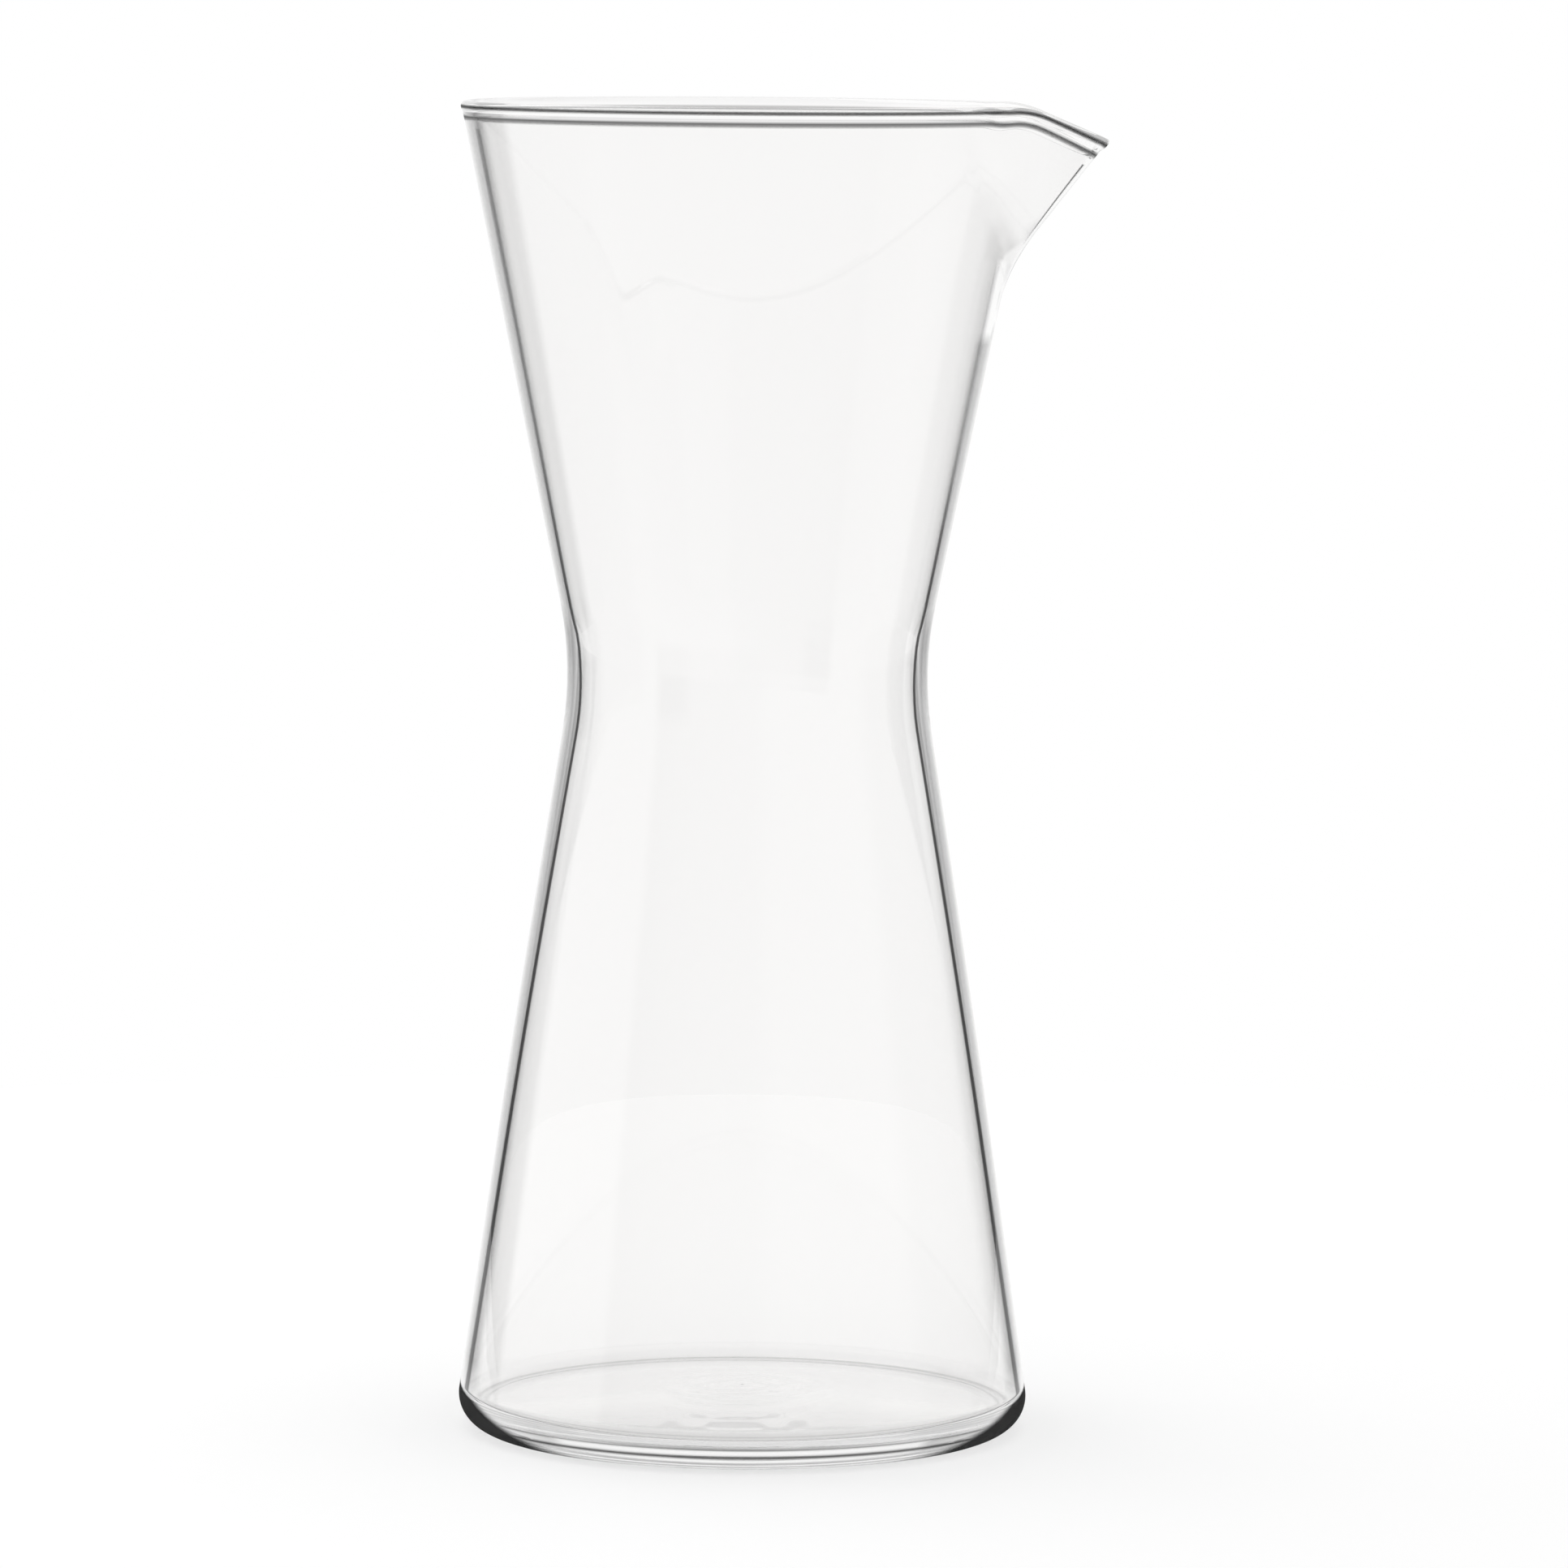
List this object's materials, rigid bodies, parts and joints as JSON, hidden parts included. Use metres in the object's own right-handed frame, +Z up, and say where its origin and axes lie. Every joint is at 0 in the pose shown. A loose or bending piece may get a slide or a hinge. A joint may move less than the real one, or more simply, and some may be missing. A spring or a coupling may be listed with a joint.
{
  "type": "glass pitcher",
  "caption": "Clear glass hourglass pitcher with a narrow waist to hold it by, a pulled pouring lip, a beaded rim and a thick domed base; no handle or lid.",
  "frame": {"origin": "centre of the foot, in the plane of the ring it stands on", "axes": "+Z up along the body's axis, +X towards the pouring lip, +Y completes a right-handed frame"},
  "size_m": [0.1091, 0.0976, 0.225],
  "materials": {
    "clear_glass": "clear, colourless, fire-polished"
  },
  "bodies": {
    "root": {"glass_vessel": "clear_glass"}
  },
  "joints": []
}
